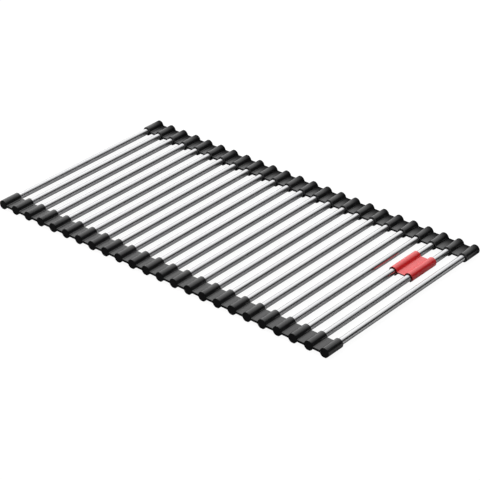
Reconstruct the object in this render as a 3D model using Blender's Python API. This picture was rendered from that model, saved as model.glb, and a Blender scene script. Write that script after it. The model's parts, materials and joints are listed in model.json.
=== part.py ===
# Roll up dish drying rack: a row of steel tubes whose ends sit in two moulded elastomer strips,
# with a red clip snapped over two of the tubes. X runs along the row, Y along the tubes, Z is up.
# The origin is under the middle of the rack, on the surface that it lies on.

import math

import bmesh
import bpy

# The row of tubes
TUBE_COUNT = 24
TUBE_PITCH = 0.0200
RACK_WIDTH = 0.2555

# Steel tubes
TUBE_DIAMETER = 0.0075
TUBE_WALL = 0.0007
TUBE_SIDES = 16

# Pockets of the strips, blind at their outer end, with a flat underneath to rest on
POCKET_WALL = 0.00135
POCKET_LENGTH = 0.0235
POCKET_END_WALL = 0.0018
REST_FLAT_WIDTH = 0.0030
FIT_GAP = 0.0003

# Webs that join the pockets and bend when the rack is rolled
WEB_THICKNESS = 0.0024
WEB_RISE = 0.0007
WEB_FILLET = 0.0012
WEB_SETBACK = 0.0003
BEND_GAP = 0.0003

# Red clip: two sleeves open underneath, and the web between them
CLIP_FIRST_TUBE = 22
CLIP_LENGTH = 0.0420
CLIP_OFFSET = 0.0569
CLIP_WALL = 0.0011
CLIP_CLEARANCE = 0.00045
CLIP_WEB_THICKNESS = 0.0016
CLIP_WEB_DROP = 0.0003
CLIP_FILLET = 0.0010
CLIP_MOUTH_ANGLE = math.radians(80)

# Steps of the arcs of a section
TOP_STEPS = 10
SIDE_STEPS = 2
LOWER_STEPS = 2
FILLET_STEPS = 2
SLEEVE_STEPS = 12
LIP_STEPS = 2

# Links at the core of the roll hold one tube each, and those round them hold two
SINGLE_LINKS = 9
TUBES_OF_OUTER_LINK = 2

# Points of a mesh closer than this are one point, and edges sharper than this stay crisp
SAME_POINT = 0.000001
SHARP_EDGE = math.radians(35)

# Finishes: colour, roughness and how metallic it is
FINISHES = {
    "brushed_steel": ((0.62, 0.62, 0.63), 0.22, 1.0),
    "black_elastomer": ((0.012, 0.012, 0.013), 0.45, 0.0),
    "red_elastomer": ((0.56, 0.022, 0.030), 0.40, 0.0),
}

# Sizes that follow from those above
TUBE_RADIUS = TUBE_DIAMETER / 2
BORE_RADIUS = TUBE_RADIUS + FIT_GAP
POCKET_RADIUS = BORE_RADIUS + POCKET_WALL
FLAT_HALF_ANGLE = math.asin(REST_FLAT_WIDTH / 2 / POCKET_RADIUS)
AXIS_HEIGHT = POCKET_RADIUS * math.cos(FLAT_HALF_ANGLE)
WEB_TOP = AXIS_HEIGHT + WEB_RISE
MOUTH_Y = RACK_WIDTH / 2 - POCKET_LENGTH
TUBE_LENGTH = RACK_WIDTH - 2 * (POCKET_END_WALL + FIT_GAP)
SLEEVE_BORE_RADIUS = TUBE_RADIUS + CLIP_CLEARANCE
SLEEVE_RADIUS = SLEEVE_BORE_RADIUS + CLIP_WALL
DOWN = -math.pi / 2


def tube_x(number):
    """Place along the row of a tube, counted from 1 at the core of the roll."""
    return (number - (TUBE_COUNT + 1) / 2) * TUBE_PITCH


def link_groups():
    """The tube numbers that each rigid link holds, from the core of the roll outwards."""
    groups = [[number] for number in range(1, SINGLE_LINKS + 1)]
    for first in range(SINGLE_LINKS + 1, TUBE_COUNT + 1, TUBES_OF_OUTER_LINK):
        last = min(first + TUBES_OF_OUTER_LINK - 1, TUBE_COUNT)
        groups.append(list(range(first, last + 1)))
    return groups


def arc(x, radius, start, end, steps):
    """Points of an arc about a tube axis, both ends included, as pairs of x and height."""
    angles = [start + (end - start) * step / steps for step in range(steps + 1)]
    return [(x + radius * math.cos(a), AXIS_HEIGHT + radius * math.sin(a)) for a in angles]


def joined(*runs):
    """One run of points from runs that each start where the last one ended."""
    points = list(runs[0])
    for run in runs[1:]:
        points += run[1:]
    return points


def root_angle(radius, face_z, fillet):
    """Angle on a round where the fillet down to a flat face at this height touches it."""
    centre_z = face_z - AXIS_HEIGHT + fillet
    return math.asin(centre_z / (radius + abs(fillet)))


def web_root(x, radius, face_z, fillet, side):
    """Fillet from a round to a web face. The fillet is negative under a web, the side is 1 or -1."""
    size = abs(fillet)
    angle = root_angle(radius, face_z, fillet)
    centre_x = x + side * (radius + size) * math.cos(angle)
    centre_z = face_z + fillet
    on_round = math.atan2(-math.sin(angle), -side * math.cos(angle))
    on_web = math.copysign(math.pi / 2, -fillet)
    turn = math.remainder(on_web - on_round, 2 * math.pi)
    angles = [on_round + turn * step / FILLET_STEPS for step in range(FILLET_STEPS + 1)]
    return [(centre_x + size * math.cos(a), centre_z + size * math.sin(a)) for a in angles]


def placed(points, y):
    """A run of section points at one place along the tubes."""
    return [(x, y, z) for x, z in points]


def ribbon(run, from_y, to_y, closed=False):
    """Quads that carry a run of section points from one place along the tubes to another."""
    near, far = placed(run, from_y), placed(run, to_y)
    if closed:
        near.append(near[0])
        far.append(far[0])
    return [
        [near[i], near[i + 1], far[i + 1], far[i]]
        for i in range(len(near) - 1)
    ]


def between(outer, inner, y):
    """Quads of the flat face between two closed loops with as many points."""
    count = len(outer)
    outer, inner = placed(outer, y), placed(inner, y)
    return [
        [outer[i], outer[(i + 1) % count], inner[(i + 1) % count], inner[i]]
        for i in range(count)
    ]


def solid_mesh(name, faces):
    """Closed mesh from faces given by their points."""
    bm = bmesh.new()
    for face in faces:
        bm.faces.new([bm.verts.new(point) for point in face])
    bmesh.ops.remove_doubles(bm, verts=bm.verts, dist=SAME_POINT)
    bmesh.ops.recalc_face_normals(bm, faces=bm.faces)
    mesh = bpy.data.meshes.new(name)
    bm.to_mesh(mesh)
    bm.free()
    mesh.shade_smooth()
    mesh.set_sharp_from_angle(angle=SHARP_EDGE)
    return mesh


def material(name):
    colour, roughness, metallic = FINISHES[name]
    made = bpy.data.materials.new(name)
    made.use_nodes = True
    shader = made.node_tree.nodes["Principled BSDF"]
    shader.inputs["Base Color"].default_value = (*colour, 1)
    shader.inputs["Roughness"].default_value = roughness
    shader.inputs["Metallic"].default_value = metallic
    return made


def tube_mesh():
    """Open steel tube along Y, centred on its own middle."""
    def circle(radius):
        turns = [2 * math.pi * step / TUBE_SIDES for step in range(TUBE_SIDES)]
        return [(radius * math.cos(a), radius * math.sin(a)) for a in turns]

    outer, inner = circle(TUBE_RADIUS), circle(TUBE_RADIUS - TUBE_WALL)
    half = TUBE_LENGTH / 2
    faces = ribbon(outer, -half, half, closed=True) + ribbon(inner, -half, half, closed=True)
    faces += between(outer, inner, -half) + between(outer, inner, half)
    return solid_mesh("tube", faces)


def pocket_arcs(x, radius):
    """The round of a pocket as arcs, anticlockwise from its upper right, split where webs join it."""
    upper = root_angle(POCKET_RADIUS, WEB_TOP, WEB_FILLET)
    lower = root_angle(POCKET_RADIUS, WEB_TOP - WEB_THICKNESS, -WEB_FILLET)
    left_flat, right_flat = DOWN - FLAT_HALF_ANGLE, DOWN + FLAT_HALF_ANGLE
    return {
        "top": arc(x, radius, upper, math.pi - upper, TOP_STEPS),
        "left": arc(x, radius, -math.pi - upper, -math.pi - lower, SIDE_STEPS),
        "under": arc(x, radius, -math.pi - lower, left_flat, LOWER_STEPS)
        + arc(x, radius, right_flat, lower, LOWER_STEPS),
        "right": arc(x, radius, lower, upper, SIDE_STEPS),
    }


def pocket_root(x, side, upper):
    """Fillet from a pocket to the top or the underside of the web beside it."""
    if upper:
        return web_root(x, POCKET_RADIUS, WEB_TOP, WEB_FILLET, side)
    return web_root(x, POCKET_RADIUS, WEB_TOP - WEB_THICKNESS, -WEB_FILLET, side)


def half_web(x, side, end_x):
    """Edge of the half web beside a pocket, from the top of its root round to the lower one."""
    upper = pocket_root(x, side, True) + [(end_x, WEB_TOP)]
    lower = pocket_root(x, side, False) + [(end_x, WEB_TOP - WEB_THICKNESS)]
    return upper + lower[::-1]


def strip_mesh(name, xs, left_end, right_end, outward):
    """One link of a strip. An end is where its half web stops, or None at the end of the rack."""
    rounds = [pocket_arcs(x, POCKET_RADIUS) for x in xs]
    web_faces = []

    if left_end is None:
        left_edge = rounds[0]["left"]
    else:
        left_edge = half_web(xs[0], -1, left_end)
        web_faces.append(left_edge + rounds[0]["left"][-2:0:-1])
    if right_end is None:
        right_edge = rounds[-1]["right"]
    else:
        right_edge = half_web(xs[-1], 1, right_end)[::-1]
        web_faces.append(right_edge + rounds[-1]["right"][-2:0:-1])

    over, under = rounds[-1]["top"], rounds[0]["under"]
    for left in range(len(xs) - 1, 0, -1):
        x, next_x = xs[left - 1], xs[left]
        top_web = pocket_root(next_x, -1, True) + pocket_root(x, 1, True)[::-1]
        over = joined(over, top_web, rounds[left - 1]["top"])
    for right in range(1, len(xs)):
        x, next_x = xs[right - 1], xs[right]
        low_web = pocket_root(x, 1, False) + pocket_root(next_x, -1, False)[::-1]
        under = joined(under, low_web, rounds[right]["under"])
        top_web = pocket_root(next_x, -1, True) + pocket_root(x, 1, True)[::-1]
        web_faces.append(
            top_web + rounds[right - 1]["right"][-2:0:-1] + low_web + rounds[right]["left"][-2:0:-1]
        )
    outline = joined(over, left_edge, under, right_edge)[:-1]

    mouth = outward * MOUTH_Y
    web_edge = outward * (MOUTH_Y + WEB_SETBACK)
    closed_end = outward * RACK_WIDTH / 2
    bore_end = outward * (RACK_WIDTH / 2 - POCKET_END_WALL)

    faces = ribbon(outline, web_edge, closed_end, closed=True)
    faces.append(placed(outline, closed_end))
    faces += [placed(face, web_edge) for face in web_faces]
    for x in xs:
        whole = {
            radius: joined(*pocket_arcs(x, radius).values())[:-1]
            for radius in (POCKET_RADIUS, BORE_RADIUS)
        }
        faces += ribbon(whole[POCKET_RADIUS], mouth, web_edge, closed=True)
        faces += between(whole[POCKET_RADIUS], whole[BORE_RADIUS], mouth)
        faces += ribbon(whole[BORE_RADIUS], mouth, bore_end, closed=True)
        faces.append(placed(whole[BORE_RADIUS], bore_end))
    return solid_mesh(name, faces)


def clip_mesh():
    """Clip centred between its two tubes and on its own length."""
    left_x, right_x = -TUBE_PITCH / 2, TUBE_PITCH / 2
    web_top = AXIS_HEIGHT - CLIP_WEB_DROP
    web_bottom = web_top - CLIP_WEB_THICKNESS
    upper = root_angle(SLEEVE_RADIUS, web_top, CLIP_FILLET)
    lower = root_angle(SLEEVE_RADIUS, web_bottom, -CLIP_FILLET)
    right_lip = DOWN + CLIP_MOUTH_ANGLE / 2
    left_lip = DOWN - CLIP_MOUTH_ANGLE / 2

    def root(x, side, above):
        if above:
            return web_root(x, SLEEVE_RADIUS, web_top, CLIP_FILLET, side)
        return web_root(x, SLEEVE_RADIUS, web_bottom, -CLIP_FILLET, side)

    def bore(x):
        return arc(x, SLEEVE_BORE_RADIUS, left_lip + 2 * math.pi, right_lip, SLEEVE_STEPS)

    outline = arc(right_x, SLEEVE_RADIUS, right_lip, math.pi - upper, SLEEVE_STEPS)
    outline = joined(outline, root(right_x, -1, True) + root(left_x, 1, True)[::-1])
    outline = joined(outline, arc(left_x, SLEEVE_RADIUS, upper, left_lip + 2 * math.pi, SLEEVE_STEPS))
    outline += bore(left_x)
    outline += arc(left_x, SLEEVE_RADIUS, right_lip, lower, LIP_STEPS)
    outline = joined(outline, root(left_x, 1, False) + root(right_x, -1, False)[::-1])
    outline = joined(outline, arc(right_x, SLEEVE_RADIUS, math.pi - lower, left_lip + 2 * math.pi, LIP_STEPS))
    outline += bore(right_x)

    half = CLIP_LENGTH / 2
    faces = ribbon(outline, -half, half, closed=True)
    faces += [placed(outline, -half), placed(outline, half)]
    return solid_mesh("clip", faces)


def add_object(name, data, parent, x, y, z):
    """Object at a place given in the rack's own frame, carried by its link."""
    made = bpy.data.objects.new(name, data)
    bpy.context.collection.objects.link(made)
    made["frame"] = (x, y, z)
    origin = parent["frame"] if parent else (0, 0, 0)
    made.location = (x - origin[0], y - origin[1], z - origin[2])
    made.parent = parent
    return made


def add_links(groups, root):
    """One empty for each link, on the axis that it bends about, chained from the root link."""
    links = {root: add_object(f"link_{root + 1:02d}", None, None, 0, 0, 0)}
    for number in range(root - 1, -1, -1):
        x = tube_x(groups[number][-1]) + TUBE_PITCH / 2
        links[number] = add_object(f"link_{number + 1:02d}", None, links[number + 1], x, 0, WEB_TOP)
    for number in range(root + 1, len(groups)):
        x = tube_x(groups[number][0]) - TUBE_PITCH / 2
        links[number] = add_object(f"link_{number + 1:02d}", None, links[number - 1], x, 0, WEB_TOP)
    return links


def add_strip(name, groups, links, outward, finish):
    """All links of one strip, which share a mesh where they are alike."""
    meshes = {}
    for number, group in enumerate(groups):
        middle = (tube_x(group[0]) + tube_x(group[-1])) / 2
        reach = (tube_x(group[-1]) - tube_x(group[0])) / 2 + TUBE_PITCH / 2 - BEND_GAP / 2
        left_end = -reach if number > 0 else None
        right_end = reach if number < len(groups) - 1 else None
        shape = len(group), left_end is None, right_end is None
        if shape not in meshes:
            xs = [tube_x(tube) - middle for tube in group]
            meshes[shape] = strip_mesh(name, xs, left_end, right_end, outward)
            meshes[shape].materials.append(finish)
        add_object(f"{name}_{number + 1:02d}", meshes[shape], links[number], middle, 0, 0)


def main():
    for old in list(bpy.data.objects):
        bpy.data.objects.remove(old, do_unlink=True)

    steel = material("brushed_steel")
    black = material("black_elastomer")
    red = material("red_elastomer")

    groups = link_groups()
    root = next(number for number, group in enumerate(groups) if CLIP_FIRST_TUBE in group)
    links = add_links(groups, root)

    tube = tube_mesh()
    tube.materials.append(steel)
    for number, group in enumerate(groups):
        for held in group:
            add_object(f"tube_{held:02d}", tube, links[number], tube_x(held), 0, AXIS_HEIGHT)

    add_strip("front_strip", groups, links, -1, black)
    add_strip("rear_strip", groups, links, 1, black)

    clip = clip_mesh()
    clip.materials.append(red)
    clip_x = (tube_x(CLIP_FIRST_TUBE) + tube_x(CLIP_FIRST_TUBE + 1)) / 2
    add_object("red_clip", clip, links[root], clip_x, CLIP_OFFSET, 0)


main()
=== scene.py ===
import json
import math

import bmesh
import bpy
from mathutils import Matrix, Quaternion, Vector

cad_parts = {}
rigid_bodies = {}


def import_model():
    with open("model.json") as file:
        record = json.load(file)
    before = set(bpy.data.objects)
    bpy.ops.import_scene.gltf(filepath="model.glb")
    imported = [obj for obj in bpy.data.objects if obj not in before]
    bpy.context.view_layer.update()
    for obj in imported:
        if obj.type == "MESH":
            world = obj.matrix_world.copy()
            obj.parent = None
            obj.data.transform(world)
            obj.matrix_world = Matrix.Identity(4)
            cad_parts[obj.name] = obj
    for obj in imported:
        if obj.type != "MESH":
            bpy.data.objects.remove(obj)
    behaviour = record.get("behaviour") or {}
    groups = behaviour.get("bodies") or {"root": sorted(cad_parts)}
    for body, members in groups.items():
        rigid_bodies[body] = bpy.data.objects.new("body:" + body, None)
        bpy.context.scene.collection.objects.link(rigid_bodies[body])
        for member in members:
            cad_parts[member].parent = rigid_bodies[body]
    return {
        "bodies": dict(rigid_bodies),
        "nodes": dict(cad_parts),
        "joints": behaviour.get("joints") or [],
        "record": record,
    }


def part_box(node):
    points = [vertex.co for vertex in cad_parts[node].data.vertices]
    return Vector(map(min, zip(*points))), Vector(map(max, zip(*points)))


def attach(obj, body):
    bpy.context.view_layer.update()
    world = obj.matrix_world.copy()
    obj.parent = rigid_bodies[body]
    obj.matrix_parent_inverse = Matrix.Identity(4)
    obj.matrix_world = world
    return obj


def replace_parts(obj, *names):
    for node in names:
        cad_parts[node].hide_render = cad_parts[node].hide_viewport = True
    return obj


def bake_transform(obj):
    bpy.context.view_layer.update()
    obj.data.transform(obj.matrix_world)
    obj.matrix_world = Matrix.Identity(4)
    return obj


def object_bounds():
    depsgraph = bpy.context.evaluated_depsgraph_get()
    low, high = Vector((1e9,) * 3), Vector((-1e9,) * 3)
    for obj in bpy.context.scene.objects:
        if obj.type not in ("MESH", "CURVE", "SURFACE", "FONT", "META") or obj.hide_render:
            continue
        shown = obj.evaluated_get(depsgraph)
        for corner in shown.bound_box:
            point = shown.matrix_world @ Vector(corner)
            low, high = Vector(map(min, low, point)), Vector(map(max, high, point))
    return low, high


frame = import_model()
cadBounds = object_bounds()


# Shader graphs: a wire is an output socket, and sums on it are written as plain expressions
class Wire:
    def __init__(self, graph, socket):
        self.graph = graph
        self.socket = socket

    def maths(self, operation, first, second):
        return self.graph.add("ShaderNodeMath", {"operation": operation}, {0: first, 1: second})

    def __add__(self, other):
        return self.maths("ADD", self, other)

    def __radd__(self, other):
        return self.maths("ADD", other, self)

    def __sub__(self, other):
        return self.maths("SUBTRACT", self, other)

    def __rsub__(self, other):
        return self.maths("SUBTRACT", other, self)

    def __mul__(self, other):
        return self.maths("MULTIPLY", self, other)

    def __rmul__(self, other):
        return self.maths("MULTIPLY", other, self)


class Graph:
    def __init__(self, tree):
        self.tree = tree
        tree.nodes.clear()

    def add(self, kind, settings=None, values=None, output=0):
        made = self.tree.nodes.new(kind)
        for name, setting in (settings or {}).items():
            setattr(made, name, setting)
        for name, value in (values or {}).items():
            if isinstance(value, Wire):
                self.tree.links.new(value.socket, made.inputs[name])
            else:
                made.inputs[name].default_value = value
        return Wire(self, made.outputs[output]) if made.outputs else None

    def ramp(self, value, low, high, atLow=0.0, atHigh=1.0):      # eased step from one value to another
        return self.add("ShaderNodeMapRange", {"interpolation_type": "SMOOTHSTEP"},
                        {"Value": value, "From Min": low, "From Max": high, "To Min": atLow, "To Max": atHigh})

    def noise(self, place, scale, detail=2.0, roughness=0.5):
        return self.add("ShaderNodeTexNoise", {},
                        {"Vector": place, "Scale": scale, "Detail": detail, "Roughness": roughness})

    def stretched(self, place, scale):      # the larger a scale, the finer a noise is along that axis
        return self.add("ShaderNodeVectorMath", {"operation": "MULTIPLY"}, {0: place, 1: scale})

    def axis(self, place, letter):
        return self.add("ShaderNodeSeparateXYZ", {}, {0: place}, output=letter)

    def tint(self, share, first, second):
        colours = {6: (*first, 1), 7: (*second, 1)}      # its colour sockets have no names of their own
        return self.add("ShaderNodeMix", {"data_type": "RGBA"}, {"Factor": share, **colours}, output=2)

    def bump(self, height, distance, strength):
        return self.add("ShaderNodeBump", {}, {"Height": height, "Distance": distance, "Strength": strength})


def newMaterial(name):
    made = bpy.data.materials.new(name)
    made.use_nodes = True
    graph = Graph(made.node_tree)
    place = graph.add("ShaderNodeTexCoord", output="Object")      # the same for all pieces, as none is moved at rest
    return made, graph, place


def finishMaterial(graph, values, dull=None):      # dull: where the finish has lost its gloss
    shader = graph.add("ShaderNodeBsdfPrincipled", {}, values)
    if dull:
        matte = graph.add("ShaderNodeBsdfPrincipled", {}, {
            "Base Color": values["Base Color"], "Normal": values["Normal"],
            "Roughness": 1.0, "Specular IOR Level": 0.0,
        })
        shader = graph.add("ShaderNodeMixShader", {}, {0: dull, 1: shader, 2: matte})
    graph.add("ShaderNodeOutputMaterial", {}, {"Surface": shader})


# Camera, fitted to the ends of all the tubes in the photograph
cameraSetup = {
    "place": (1.13935, -1.26216, 0.99141),
    "aim": (0.01900, -0.01070, 0.0),
    "roll": math.radians(-1.1898),
    "focalPixels": 1806.6,
    "imagePixels": 480,
    "sensor": 36.0,
    "farthest": 50,
}


def makeCamera(setup):
    data = bpy.data.cameras.new("photoCamera")
    data.sensor_width = setup["sensor"]
    data.lens = setup["focalPixels"] / setup["imagePixels"] * setup["sensor"]
    data.clip_end = setup["farthest"]
    camera = bpy.data.objects.new("photoCamera", data)
    bpy.context.scene.collection.objects.link(camera)
    forward = Vector(setup["aim"]) - Vector(setup["place"])
    level = forward.to_track_quat("-Z", "Y")
    camera.rotation_mode = "QUATERNION"
    camera.rotation_quaternion = Quaternion(forward.normalized(), -setup["roll"]) @ level
    camera.location = setup["place"]
    bpy.context.scene.camera = camera


makeCamera(cameraSetup)
print("camera placed")


# Finishes, with noise scales per metre
steelFinish = {
    "pale": (0.54, 0.54, 0.545),
    "dull": (0.51, 0.51, 0.52),
    "clouds": (40, 12, 40),      # where the steel is paler or duller
    "cloudEdge": (0.35, 0.65),
    "lines": (2600, 9, 2600),      # from drawing the tube, along its length
    "lineHeight": 0.0000015,
    "lineStrength": 0.5,
    "roughness": (0.19, 0.26),
    "roughnessShares": (0.7, 0.3),      # of the clouds and of the lines
    "detail": 3.0,
}


def steelMaterial(finish):
    made, graph, place = newMaterial("drawnSteel")
    lines = graph.noise(graph.stretched(place, finish["lines"]), 1.0, finish["detail"])
    clouds = graph.noise(graph.stretched(place, finish["clouds"]), 1.0, finish["detail"])
    cloudShare, lineShare = finish["roughnessShares"]
    uneven = clouds * cloudShare + lines * lineShare
    finishMaterial(graph, {
        "Base Color": graph.tint(graph.ramp(clouds, *finish["cloudEdge"]), finish["pale"], finish["dull"]),
        "Metallic": 1.0,
        "Roughness": graph.ramp(uneven, *finish["cloudEdge"], *finish["roughness"]),
        "Normal": graph.bump(lines, finish["lineHeight"], finish["lineStrength"]),
    })
    return made


elastomerFinish = {
    "grain": 2400,      # from the mould
    "grainHeight": 0.000012,
    "grainStrength": 0.35,
    "clouds": 55,
    "cloudDetail": 4.0,
    "cloudRoughness": 0.6,
    "colourEdge": (0.35, 0.68),
    "roughnessEdge": (0.35, 0.65),
    "roughnessShares": (0.6, 0.4),      # of the clouds and of the grain
}
elastomerColours = {      # the two ends of the colour and of the roughness, and the strength of the gloss
    "black": {
        "colours": ((0.008, 0.008, 0.0085), (0.012, 0.012, 0.0125)),
        "roughness": (0.19, 0.26),
        "gloss": 0.50,
    },
    "blackEnds": {      # painted shade: a darker black with less gloss on the end faces, which face away from the light
        "colours": ((0.0052, 0.0052, 0.0055), (0.0078, 0.0078, 0.0083)),
        "roughness": (0.50, 0.60),
        "gloss": 0.04,
    },
    "red": {
        "colours": ((0.74, 0.014, 0.018), (0.79, 0.020, 0.025)),
        "roughness": (0.22, 0.30),
        "gloss": 0.9,
    },
    # painted shade: a much darker red with less gloss on the clip's end faces
    "redEnds": {
        "colours": ((0.075, 0.003, 0.004), (0.090, 0.004, 0.005)),
        "roughness": (0.50, 0.60),
        "gloss": 0.04,
    },
}
rearFade = {      # the rear strip loses its gloss between two places along y
    "webs": (0.1040, 0.1277),
    "pockets": (0.1109, 0.1303),
    "webTops": (0.0060, 0.0072),      # heights between which a web turns into a pocket
}


def fadeMask(graph, place, fade):
    web = graph.ramp(graph.axis(place, "Z"), *fade["webTops"], 1.0, 0.0)
    back = graph.axis(place, "Y")
    return graph.ramp(back, *fade["webs"]) * web + graph.ramp(back, *fade["pockets"]) * (1 - web)


def elastomerMaterial(name, finish, own, fade=None):
    made, graph, place = newMaterial(name)
    grain = graph.noise(place, finish["grain"])
    clouds = graph.noise(place, finish["clouds"], finish["cloudDetail"], finish["cloudRoughness"])
    cloudShare, grainShare = finish["roughnessShares"]
    uneven = clouds * cloudShare + grain * grainShare
    finishMaterial(graph, {
        "Base Color": graph.tint(graph.ramp(clouds, *finish["colourEdge"]), *own["colours"]),
        "Roughness": graph.ramp(uneven, *finish["roughnessEdge"], *own["roughness"]),
        "Specular IOR Level": own["gloss"],
        "Normal": graph.bump(grain, finish["grainHeight"], finish["grainStrength"]),
    }, fadeMask(graph, place, fade) if fade else None)
    return made


steel = steelMaterial(steelFinish)
blackElastomer = elastomerMaterial("blackElastomer", elastomerFinish, elastomerColours["black"], rearFade)
# painted shade: darker, less glossy black for the strips' end faces
blackEnds = elastomerMaterial("blackElastomerEnds", elastomerFinish, elastomerColours["blackEnds"])
redElastomer = elastomerMaterial("redElastomer", elastomerFinish, elastomerColours["red"])
# painted shade: darker, less glossy red for the clip's end faces
redEnds = elastomerMaterial("redElastomerEnds", elastomerFinish, elastomerColours["redEnds"])
print("finishes made")


# Points and faces of sections, as pairs of x and z about the row of tubes
samePoint = 0.0000005
down = -math.pi / 2
sharpAngle = math.radians(40)


def arcPoints(centre, radius, start, end, count):
    turn = (end - start) / count
    return [
        (centre[0] + radius * math.cos(start + turn * step), centre[1] + radius * math.sin(start + turn * step))
        for step in range(count + 1)
    ]


def chain(*runs):      # one run of points, without the points where two runs meet
    points = []
    for run in runs:
        points += run[1:] if points and math.dist(points[-1], run[0]) < samePoint else run
    return points


def bridge(faces, loops):      # quads between loops, each a pair of section points and a place along y
    for (near, nearY), (far, farY) in zip(loops, loops[1:]):
        for i in range(len(near)):
            j = (i + 1) % len(near)
            faces.append([(*near[i], nearY), (*near[j], nearY), (*far[j], farY), (*far[i], farY)])


def cap(faces, loop, y):
    faces.append([(x, z, y) for x, z in loop])


def meshFromFaces(name, faces):
    bm = bmesh.new()
    for face in faces:
        bm.faces.new([bm.verts.new((x, y, z)) for x, z, y in face])
    bmesh.ops.remove_doubles(bm, verts=bm.verts, dist=samePoint)
    bmesh.ops.recalc_face_normals(bm, faces=bm.faces)
    mesh = bpy.data.meshes.new(name)
    bm.to_mesh(mesh)
    bm.free()
    mesh.shade_smooth()
    mesh.set_sharp_from_angle(angle=sharpAngle)
    return mesh


def paintShadeOnEnds(mesh, low, high):      # painted shade: the second, darker finish goes on what lies beyond two places along y
    for face in mesh.polygons:
        if not low < face.center.y < high:
            face.material_index = 1


def placePiece(name, mesh, finishes, shift=0.0):
    data = mesh.copy()
    data.transform(Matrix.Translation((shift, 0, 0)))
    for finish in finishes:
        data.materials.append(finish)
    piece = bpy.data.objects.new(name, data)
    bpy.context.scene.collection.objects.link(piece)
    even = piece.modifiers.new("evenShading", "WEIGHTED_NORMAL")
    even.weight = 100      # the most there is, so that flat faces stay flat beside rounded edges
    even.keep_sharp = True
    return piece


# What the frame says about the tubes and strips
tubeNumbers = range(1, sum(name.startswith("tube_") for name in frame["nodes"]) + 1)
tubeBoxes = {number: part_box(f"tube_{number:02d}") for number in tubeNumbers}
tubeX = {number: (low.x + high.x) / 2 for number, (low, high) in tubeBoxes.items()}
tubeLow, tubeHigh = tubeBoxes[1]
axisZ = (tubeLow.z + tubeHigh.z) / 2
tubeRadius = (tubeHigh.z - tubeLow.z) / 2
stripLow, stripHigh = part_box("rear_strip_01")
linkNames = sorted(frame["bodies"])
linkTubes = {
    link: [number for number in tubeNumbers if f"tube_{number:02d}" in frame["record"]["behaviour"]["bodies"][link]]
    for link in linkNames
}
hinges = {
    frozenset((joint["parent"], joint["child"])): Vector(joint["pos_m"]) for joint in frame["joints"]
}


# Tubes
tube = {
    "wall": 0.0007,
    "edge": 0.0002,      # deburred ends
    "sides": 40,
}


def tubeMesh(sizes):
    def ring(radius):
        turn = 2 * math.pi / sizes["sides"]
        return [(radius * math.cos(turn * i), axisZ + radius * math.sin(turn * i)) for i in range(sizes["sides"])]

    half = tubeHigh.y
    edge = sizes["edge"]
    inner = tubeRadius - sizes["wall"]
    loops = [
        (ring(inner + edge), -half), (ring(tubeRadius - edge), -half), (ring(tubeRadius), edge - half),
        (ring(tubeRadius), half - edge), (ring(tubeRadius - edge), half), (ring(inner + edge), half),
        (ring(inner), half - edge), (ring(inner), edge - half), (ring(inner + edge), -half),
    ]
    faces = []
    bridge(faces, loops)
    return meshFromFaces("tube", faces)


def addTubes():
    shape = tubeMesh(tube)
    for link, numbers in linkTubes.items():
        for number in numbers:
            piece = placePiece(f"tube{number:02d}", shape, [steel], tubeX[number])
            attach(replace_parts(piece, f"tube_{number:02d}"), link)


addTubes()
print("tubes made:", len(tubeX))


# Strips: pockets and webs of one moulding, in rings from the webs' inner edge to the closed end
strip = {
    "boreGap": 0.0003,
    "endWall": 0.0018,
    "restFlat": 0.0030,
    "webThickness": 0.0024,
    "webSetback": 0.0003,
    "fillet": 0.0012,
    "webRound": 0.00025,      # inner edges of the webs
    "webEndRound": 0.00050,      # their outer edges
    "endRound": 0.00015,      # rim of the closed ends
    "mouthRound": 0.00025,
    "endBand": 0.00070,      # painted shade: dark matte rim beside the closed ends
    "rigidWeb": 0.0003,      # straight web beside a fillet, before it starts to bend
}
steps = {      # how finely each curve or run of a strip is divided
    "top": 22,
    "side": 6,
    "under": 6,
    "flat": 4,
    "fillet": 5,
    "round": 4,
    "along": 7,
    "bend": 16,
}

pocketRadius = stripHigh.z - axisZ
boreRadius = tubeRadius + strip["boreGap"]
flatAngle = math.asin(strip["restFlat"] / 2 / pocketRadius)
mouthY = stripLow.y
endY = stripHigh.y
webTop = frame["joints"][0]["pos_m"][2]
webBottom = webTop - strip["webThickness"]
webEdgeY = mouthY + strip["webSetback"]
# where the painted shade on the closed ends begins
shadedBandY = endY - strip["endBand"]


def rounding(radius, count):      # pairs of distance from an edge and how far the faces beside it are pulled in
    turns = [math.pi / 2 * step / count for step in range(count + 1)]
    return [(radius * (1 - math.cos(a)), radius * (1 - math.sin(a))) for a in turns]


def pullAt(radius, along):      # the same pull at any distance from the edge
    inside = max(radius - along, 0)
    return radius - math.sqrt(radius * radius - inside * inside)


def sectionRing(y, pull, webPull):
    return {
        "y": y,
        "radius": pocketRadius - pull,
        "top": webTop - webPull,
        "bottom": webBottom + webPull,
        "fillet": strip["fillet"] + webPull,
    }


def stripRings():
    inner = [sectionRing(webEdgeY + along, 0, pull) for along, pull in rounding(strip["webRound"], steps["round"])]
    places = {along for edge in ("endRound", "webEndRound") for along, _ in rounding(strip[edge], steps["round"])}
    places = sorted(places | {strip["endBand"]})
    outer = [
        sectionRing(endY - along, pullAt(strip["endRound"], along), pullAt(strip["webEndRound"], along))
        for along in places
    ]
    first, last = inner[-1]["y"], outer[-1]["y"]
    shares = [step / steps["along"] for step in range(1, steps["along"])]
    middle = [sectionRing(first + (last - first) * share, 0, 0) for share in shares]
    return inner + middle + outer[::-1]


def rootAngle(ring, above):      # where on the round the fillet to a web's face starts
    if above:
        return math.asin((ring["top"] - axisZ + ring["fillet"]) / (ring["radius"] + ring["fillet"]))
    return math.asin((ring["bottom"] - axisZ - ring["fillet"]) / (ring["radius"] + ring["fillet"]))


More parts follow.
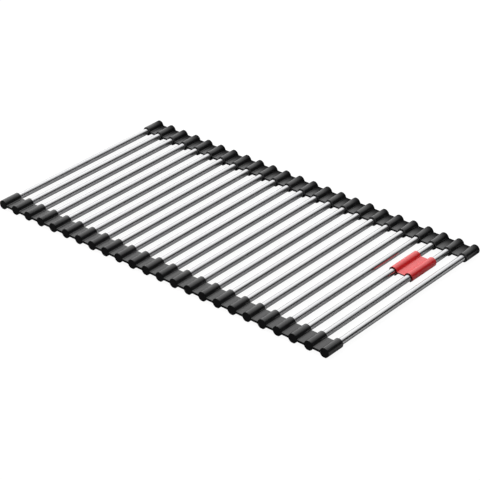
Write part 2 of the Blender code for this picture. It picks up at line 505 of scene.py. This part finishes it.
def webRoot(x, side, ring, above):      # fillet from a pocket to the face of the web beside it
    angle = rootAngle(ring, above)
    reach = ring["radius"] + ring["fillet"]
    centre = (x + side * reach * math.cos(angle), axisZ + reach * math.sin(angle))
    start = math.atan2(-math.sin(angle), -side * math.cos(angle))
    end = down if above else -down
    turn = math.remainder(end - start, 2 * math.pi)
    return arcPoints(centre, ring["fillet"], start, start + turn, steps["fillet"])


def pocketRuns(x, radius, upper, lower, bored=False):
    centre = (x, axisZ)
    left, right = down - flatAngle, down + flatAngle
    if bored:
        flat = arcPoints(centre, radius, left, right, steps["flat"])
    else:
        (leftX, z), (rightX, _) = arcPoints(centre, radius, left, right, 1)
        flat = [(leftX + (rightX - leftX) * step / steps["flat"], z) for step in range(steps["flat"] + 1)]
    return {
        "top": arcPoints(centre, radius, upper, math.pi - upper, steps["top"]),
        "left": arcPoints(centre, radius, -math.pi - upper, -math.pi - lower, steps["side"]),
        "under": chain(
            arcPoints(centre, radius, -math.pi - lower, left, steps["under"]),
            flat,
            arcPoints(centre, radius, right, lower, steps["under"]),
        ),
        "right": arcPoints(centre, radius, lower, upper, steps["side"]),
    }


def halfWeb(x, side, ring, end):      # from the upper root, round the end of a half web, to the lower root
    return chain(webRoot(x, side, ring, True), [(end, ring["top"]), (end, ring["bottom"])],
                 webRoot(x, side, ring, False)[::-1])


def wholeWeb(x, nextX, ring, above):      # from one pocket's root across to the next one's
    return chain(webRoot(x, 1, ring, above), webRoot(nextX, -1, ring, above)[::-1])


def linkSection(xs, ends, ring):
    upper, lower = rootAngle(ring, True), rootAngle(ring, False)
    rounds = [pocketRuns(x, ring["radius"], upper, lower) for x in xs]
    over, under = rounds[-1]["top"], rounds[0]["under"]
    for i in range(len(xs) - 1, 0, -1):
        over = chain(over, wholeWeb(xs[i - 1], xs[i], ring, True)[::-1], rounds[i - 1]["top"])
    for i in range(1, len(xs)):
        under = chain(under, wholeWeb(xs[i - 1], xs[i], ring, False), rounds[i]["under"])
    left = rounds[0]["left"] if ends[0] is None else halfWeb(xs[0], -1, ring, ends[0])
    right = rounds[-1]["right"] if ends[1] is None else halfWeb(xs[-1], 1, ring, ends[1])[::-1]
    return chain(over, left, under, right)[:-1]


def webFaces(xs, ends, ring):      # flat inner edges of the webs
    upper, lower = rootAngle(ring, True), rootAngle(ring, False)
    rounds = [pocketRuns(x, ring["radius"], upper, lower) for x in xs]
    found = []
    if ends[0] is not None:
        found.append(halfWeb(xs[0], -1, ring, ends[0]) + rounds[0]["left"][-2:0:-1])
    if ends[1] is not None:
        found.append(halfWeb(xs[-1], 1, ring, ends[1])[::-1] + rounds[-1]["right"][-2:0:-1])
    for i in range(1, len(xs)):
        found.append(wholeWeb(xs[i - 1], xs[i], ring, True)[::-1] + rounds[i - 1]["right"][-2:0:-1]
                     + wholeWeb(xs[i - 1], xs[i], ring, False) + rounds[i]["left"][-2:0:-1])
    return found


def pocketMouth(faces, x, split, outward):      # the round in front of the webs, its mouth and its blind bore
    def loop(radius, y, bored=False):
        return chain(*pocketRuns(x, radius, *split, bored).values())[:-1], outward * y

    loops = [loop(pocketRadius, webEdgeY)]
    edge = rounding(strip["mouthRound"], steps["round"])
    loops += [loop(pocketRadius - pull, mouthY + along) for along, pull in edge[::-1]]
    loops += [loop(boreRadius + pull, mouthY + along, True) for along, pull in edge]
    loops.append(loop(boreRadius, endY - strip["endWall"], True))
    bridge(faces, loops)
    cap(faces, *loops[-1])


def linkMesh(xs, ends, outward):
    rings = stripRings()
    loops = [(linkSection(xs, ends, ring), outward * ring["y"]) for ring in rings]
    faces = []
    bridge(faces, loops)
    cap(faces, *loops[-1])
    for loop in webFaces(xs, ends, rings[0]):
        cap(faces, loop, outward * rings[0]["y"])
    split = rootAngle(rings[0], True), rootAngle(rings[0], False)
    for x in xs:
        pocketMouth(faces, x, split, outward)
    mesh = meshFromFaces("stripLink", faces)
    # painted shade on the closed ends and the webs' outer edges
    paintShadeOnEnds(mesh, -shadedBandY, shadedBandY)
    return mesh


def webReach():      # from a pocket's axis to where its web may bend
    ring = sectionRing(endY, 0, 0)
    return webRoot(0, 1, ring, True)[-1][0] + strip["rigidWeb"]


def bendingWebMesh(startX, endX, outward):
    rings = stripRings()
    edge = [(outward * ring["y"], ring["top"]) for ring in rings]
    edge += [(outward * ring["y"], ring["bottom"]) for ring in rings[::-1]]
    faces = []
    places = [startX + (endX - startX) * step / steps["bend"] for step in range(steps["bend"] + 1)]
    for x, nextX in zip(places, places[1:]):
        for (y, z), (nextY, nextZ) in zip(edge, edge[1:] + edge[:1]):
            faces.append([(x, z, y), (nextX, z, y), (nextX, nextZ, nextY), (x, nextZ, nextY)])
    for x in (startX, endX):
        faces.append([(x, z, y) for y, z in edge])
    mesh = meshFromFaces("bendingWeb", faces)
    # painted shade on the webs' outer edges
    paintShadeOnEnds(mesh, -shadedBandY, shadedBandY)
    return mesh


def addStrip(side, outward):
    reach = webReach()
    shapes = {}
    for number, link in enumerate(linkNames, 1):
        xs = [tubeX[held] for held in linkTubes[link]]
        middle = (xs[0] + xs[-1]) / 2
        half = (xs[-1] - xs[0]) / 2
        ends = (
            None if number == 1 else -half - reach,
            None if number == len(linkNames) else half + reach,
        )
        shape = (len(xs), ends)
        if shape not in shapes:
            shapes[shape] = linkMesh([x - middle for x in xs], ends, outward)
        piece = placePiece(f"{side}StripPockets{number:02d}", shapes[shape], [blackElastomer, blackEnds], middle)
        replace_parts(piece, f"{side}_strip_{number:02d}")
        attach(piece, link)
    for number, (link, nextLink) in enumerate(zip(linkNames, linkNames[1:]), 1):
        hinge = hinges[frozenset((link, nextLink))]
        startX = tubeX[linkTubes[link][-1]] + reach
        endX = tubeX[linkTubes[nextLink][0]] - reach
        shape = bendingWebMesh(startX - hinge.x, endX - hinge.x, outward)
        piece = placePiece(f"{side}StripWeb{number:02d}", shape, [blackElastomer, blackEnds], hinge.x)
        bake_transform(piece)


addStrip("front", -1)
addStrip("rear", 1)
print("strips made:", 2 * (2 * len(linkNames) - 1), "pieces")


# Red clip: two sleeves, open underneath, and the web between them
clip = {
    "wall": 0.0011,
    "mouth": math.radians(50),
    "webRise": 0.0010,      # of its upper face over the tubes' axes
    "webThickness": 0.0016,
    "fillet": 0.0010,
    "endRound": 0.00030,
    # width of the painted shade at both end faces of the clip
    "endBand": 0.00012,
    "sleeveSteps": 34,
    "lipSteps": 6,
    "shortSteps": 4,
}


def clipMesh(sizes, low, high, xs):
    sleeve = high.z - axisZ
    wall = sizes["wall"]
    lipLeft, lipRight = down - sizes["mouth"] / 2, down + sizes["mouth"] / 2

    def section(pull):
        ring = {
            "radius": sleeve - pull,
            "top": axisZ + sizes["webRise"] - pull,
            "bottom": axisZ + sizes["webRise"] - sizes["webThickness"] + pull,
            "fillet": sizes["fillet"] + pull,
        }
        upper, lower = rootAngle(ring, True), rootAngle(ring, False)
        around = 2 * math.pi

        def bore(x):
            return arcPoints((x, axisZ), sleeve - wall + pull, lipLeft + around, lipRight, sizes["sleeveSteps"])

        def lip(x, angle, toBore):      # rounded edge of the wall at one side of the mouth
            middle = sleeve - wall / 2
            centre = (x + middle * math.cos(angle), axisZ + middle * math.sin(angle))
            start = angle if toBore else angle + math.pi
            return arcPoints(centre, wall / 2 - pull, start, start + math.pi, sizes["lipSteps"])

        def outer(x, start, end, count):
            return arcPoints((x, axisZ), ring["radius"], start, end, count)

        left, right = xs
        return chain(
            outer(right, lipRight, math.pi - upper, sizes["sleeveSteps"]),
            wholeWeb(left, right, ring, True)[::-1],
            outer(left, upper, lipLeft + around, sizes["sleeveSteps"]),
            lip(left, lipLeft, True),
            bore(left),
            lip(left, lipRight, False),
            outer(left, lipRight, lower, sizes["shortSteps"]),
            wholeWeb(left, right, ring, False),
            outer(right, math.pi - lower, lipLeft + around, sizes["shortSteps"]),
            lip(right, lipLeft, True),
            bore(right),
            lip(right, lipRight, False),
        )[:-1]

    edge = rounding(sizes["endRound"], steps["round"])
    loops = [(section(pull), low.y + along) for along, pull in edge]
    loops += [(section(pull), high.y - along) for along, pull in edge[::-1]]
    faces = []
    bridge(faces, loops)
    cap(faces, *loops[0])
    cap(faces, *loops[-1])
    mesh = meshFromFaces("clip", faces)
    # painted shade on both end faces of the clip
    paintShadeOnEnds(mesh, low.y + sizes["endBand"], high.y - sizes["endBand"])
    return mesh


def addClip():
    link = next(name for name, held in frame["record"]["behaviour"]["bodies"].items() if "red_clip" in held)
    xs = [tubeX[number] for number in linkTubes[link]]
    piece = placePiece("redClip", clipMesh(clip, *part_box("red_clip"), xs), [redElastomer, redEnds])
    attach(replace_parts(piece, "red_clip"), link)


addClip()
print("clip made")


# Floor, world and lamp
studio = {
    "floorHalf": 6.0,
    "floorDrop": 0.0001,
    "floorGrey": 0.53,      # as it lights the rack
    "floorGlow": 0.95,      # the white that the camera sees
    "floorSeen": 0.10,      # the part of that white that the rack's shadow dims
    "nearFloor": (1.2, 2.2),      # in halves of the rack's size: mirrors see the plain floor up to here, then white
    "boxTowards": (-0.62, 0.42, 0.66),      # broad light overhead at the left
    "boxEdge": (0.36, 0.92),
    "boxBack": (0.76, 0.90),      # where that light ends towards the back
    "boxStrength": 2.1,
    "flagTowards": (0.756, 0.605, 0.252),      # dark panel behind at the right
    "flagEdge": (0.76, 0.92),
    "flagStrength": 0.06,
    "skyStrength": 0.33,
    "lampPlace": (-0.8, 0.25, 1.50),
    "lampSize": 0.9,
    "lampPower": 9.0,
}


def backgroundRays(graph, shown):      # rays that see the white background; shown is where mirrors see it
    camera, through, mirrored = (
        graph.add("ShaderNodeLightPath", output=f"Is {kind} Ray") for kind in ("Camera", "Transmission", "Glossy")
    )
    return camera + through + mirrored * shown


def addFloor(setup):
    half, z = setup["floorHalf"], -setup["floorDrop"]
    mesh = bpy.data.meshes.new("floor")
    mesh.from_pydata([(-half, -half, z), (half, -half, z), (half, half, z), (-half, half, z)], [], [(0, 1, 2, 3)])
    made, graph, place = newMaterial("paleFloor")
    low, high = cadBounds
    shares = graph.stretched(place, (1 / high[0], 1 / high[1], 0))
    distance = graph.add("ShaderNodeVectorMath", {"operation": "LENGTH"}, {0: shares}, output="Value")
    plain = graph.add("ShaderNodeBsdfDiffuse", {}, {"Color": (*[setup["floorGrey"]] * 3, 1)})
    seen = graph.add("ShaderNodeBsdfDiffuse", {}, {"Color": (*[setup["floorSeen"]] * 3, 1)})
    glow = graph.add("ShaderNodeEmission", {}, {"Strength": setup["floorGlow"]})
    bright = graph.add("ShaderNodeAddShader", {}, {0: seen, 1: glow})
    factor = backgroundRays(graph, graph.ramp(distance, *setup["nearFloor"]))
    mixed = graph.add("ShaderNodeMixShader", {}, {0: factor, 1: plain, 2: bright})
    graph.add("ShaderNodeOutputMaterial", {}, {"Surface": mixed})
    mesh.materials.append(made)
    floor = bpy.data.objects.new("floor", mesh)
    bpy.context.scene.collection.objects.link(floor)


def makeWorld(setup):
    world = bpy.data.worlds.new("studio")
    world.use_nodes = True
    bpy.context.scene.world = world
    graph = Graph(world.node_tree)
    direction = graph.add("ShaderNodeTexCoord", output="Generated")

    def towards(aim):
        return graph.add("ShaderNodeVectorMath", {"operation": "DOT_PRODUCT"}, {0: direction, 1: aim}, output="Value")

    box = graph.ramp(towards(setup["boxTowards"]), *setup["boxEdge"])
    box = box * graph.ramp(towards((0, 1, 0)), *setup["boxBack"], 1.0, 0.0)
    flag = graph.ramp(towards(setup["flagTowards"]), *setup["flagEdge"])
    lit = setup["skyStrength"] + box * (setup["boxStrength"] - setup["skyStrength"])
    strength = lit * (1 - flag) + flag * setup["flagStrength"]
    sky = graph.add("ShaderNodeBackground", {}, {"Strength": strength})
    white = graph.add("ShaderNodeBackground", {}, {"Color": (1, 1, 1, 1)})
    factor = backgroundRays(graph, (1 - box) * (1 - flag))
    mixed = graph.add("ShaderNodeMixShader", {}, {0: factor, 1: sky, 2: white})
    graph.add("ShaderNodeOutputWorld", {}, {"Surface": mixed})


def addLamp(setup):
    data = bpy.data.lights.new("softbox", "AREA")
    data.energy = setup["lampPower"]
    data.size = setup["lampSize"]
    lamp = bpy.data.objects.new("softbox", data)
    bpy.context.scene.collection.objects.link(lamp)
    lamp.location = setup["lampPlace"]
    lamp.rotation_euler = (-Vector(setup["lampPlace"])).to_track_quat("-Z", "Y").to_euler()


addFloor(studio)
makeWorld(studio)
addLamp(studio)
bpy.context.scene.view_settings.view_transform = "Standard"
print("studio made")
